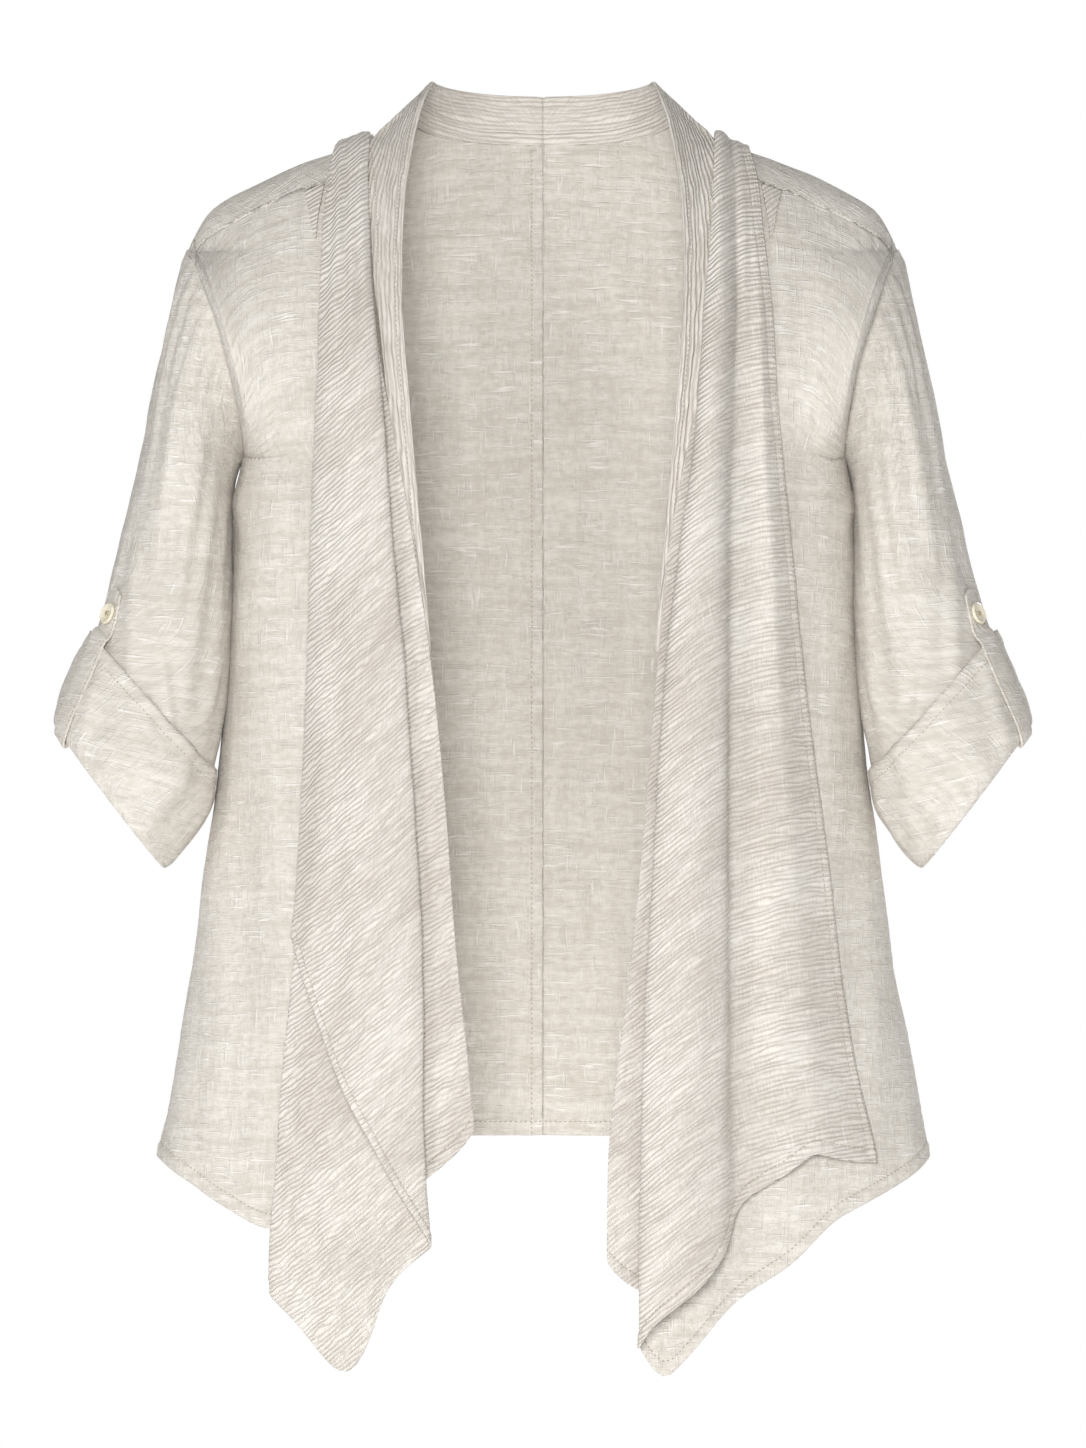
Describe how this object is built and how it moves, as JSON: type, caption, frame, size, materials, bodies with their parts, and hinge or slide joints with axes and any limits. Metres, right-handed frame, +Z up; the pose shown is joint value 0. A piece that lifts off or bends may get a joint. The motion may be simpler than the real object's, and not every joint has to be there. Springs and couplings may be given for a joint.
{
  "type": "open-front kimono jacket filled out with no wearer",
  "caption": "Linen kimono jacket with draped crepe fronts, open collar band, rolled sleeves with buttoned tabs, hollow as when worn.",
  "frame": {"origin": "middle of the neck on the shoulder line, where the wearer carries the jacket", "axes": "+Z up, -Y towards the open front, +X towards the right of the picture"},
  "size_m": [0.6066, 0.2564, 0.7982],
  "materials": {
    "linen": "matte slub linen, oatmeal",
    "crepe": "matte crinkled crepe, pale oatmeal",
    "button": "satin cream, four holes"
  },
  "bodies": {
    "root": {"back_left": "linen", "front_left": "linen", "drape_left": "crepe", "collar_left": "crepe", "gusset_left": "crepe", "sleeve_left": "linen", "cuff_left": "linen", "tab_left": "linen", "button_left": "button", "back_right": "linen", "front_right": "linen", "drape_right": "crepe", "collar_right": "crepe", "gusset_right": "crepe", "sleeve_right": "linen", "cuff_right": "linen", "tab_right": "linen", "button_right": "button"}
  },
  "joints": []
}
